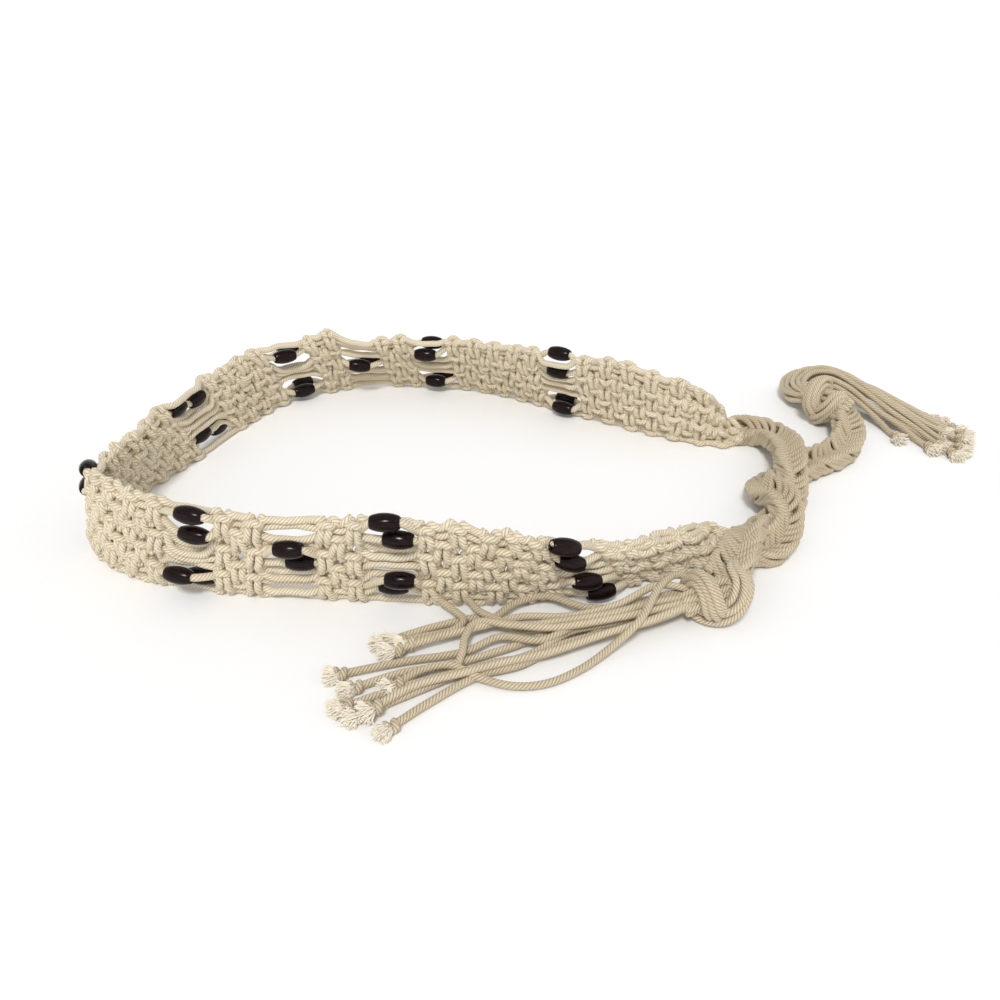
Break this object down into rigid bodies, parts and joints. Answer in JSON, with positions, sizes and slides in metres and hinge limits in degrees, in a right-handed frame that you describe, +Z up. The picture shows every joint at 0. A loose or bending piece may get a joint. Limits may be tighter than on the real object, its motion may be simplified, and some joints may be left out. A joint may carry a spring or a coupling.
{
  "type": "macrame belt with wooden beads and tassel ends",
  "caption": "Knotted cotton cord belt with groups of dark wooden beads, its ends plaited, tied in a half knot and finished with tassels, lying in a loop on its edge.",
  "frame": {"origin": "middle of the whole belt's footprint on the floor, at the height of the floor", "axes": "+X from the far bend of the loop towards the tied ends, +Y from the picture's near side to its far side, +Z up"},
  "size_m": [0.401, 0.2698, 0.0455],
  "materials": {
    "cotton_cord": "undyed twisted cotton, matte",
    "bead_wood": "very dark polished wood"
  },
  "bodies": {
    "root": {"woven_band": "cotton_cord", "back_plait": "cotton_cord", "front_plait": "cotton_cord", "front_tassel": "cotton_cord", "back_tassel": "cotton_cord", "bead_01": "bead_wood", "bead_02": "bead_wood", "bead_03": "bead_wood", "bead_04": "bead_wood", "bead_05": "bead_wood", "bead_06": "bead_wood", "bead_07": "bead_wood", "bead_08": "bead_wood", "bead_09": "bead_wood", "bead_10": "bead_wood", "bead_11": "bead_wood", "bead_12": "bead_wood", "bead_13": "bead_wood", "bead_14": "bead_wood", "bead_15": "bead_wood", "bead_16": "bead_wood", "bead_17": "bead_wood", "bead_18": "bead_wood", "bead_19": "bead_wood", "bead_20": "bead_wood", "bead_21": "bead_wood", "bead_22": "bead_wood", "bead_23": "bead_wood", "bead_24": "bead_wood", "bead_25": "bead_wood", "bead_26": "bead_wood", "bead_27": "bead_wood", "bead_28": "bead_wood", "bead_29": "bead_wood", "bead_30": "bead_wood", "bead_31": "bead_wood", "bead_32": "bead_wood", "bead_33": "bead_wood", "bead_34": "bead_wood", "bead_35": "bead_wood", "bead_36": "bead_wood"}
  },
  "joints": []
}
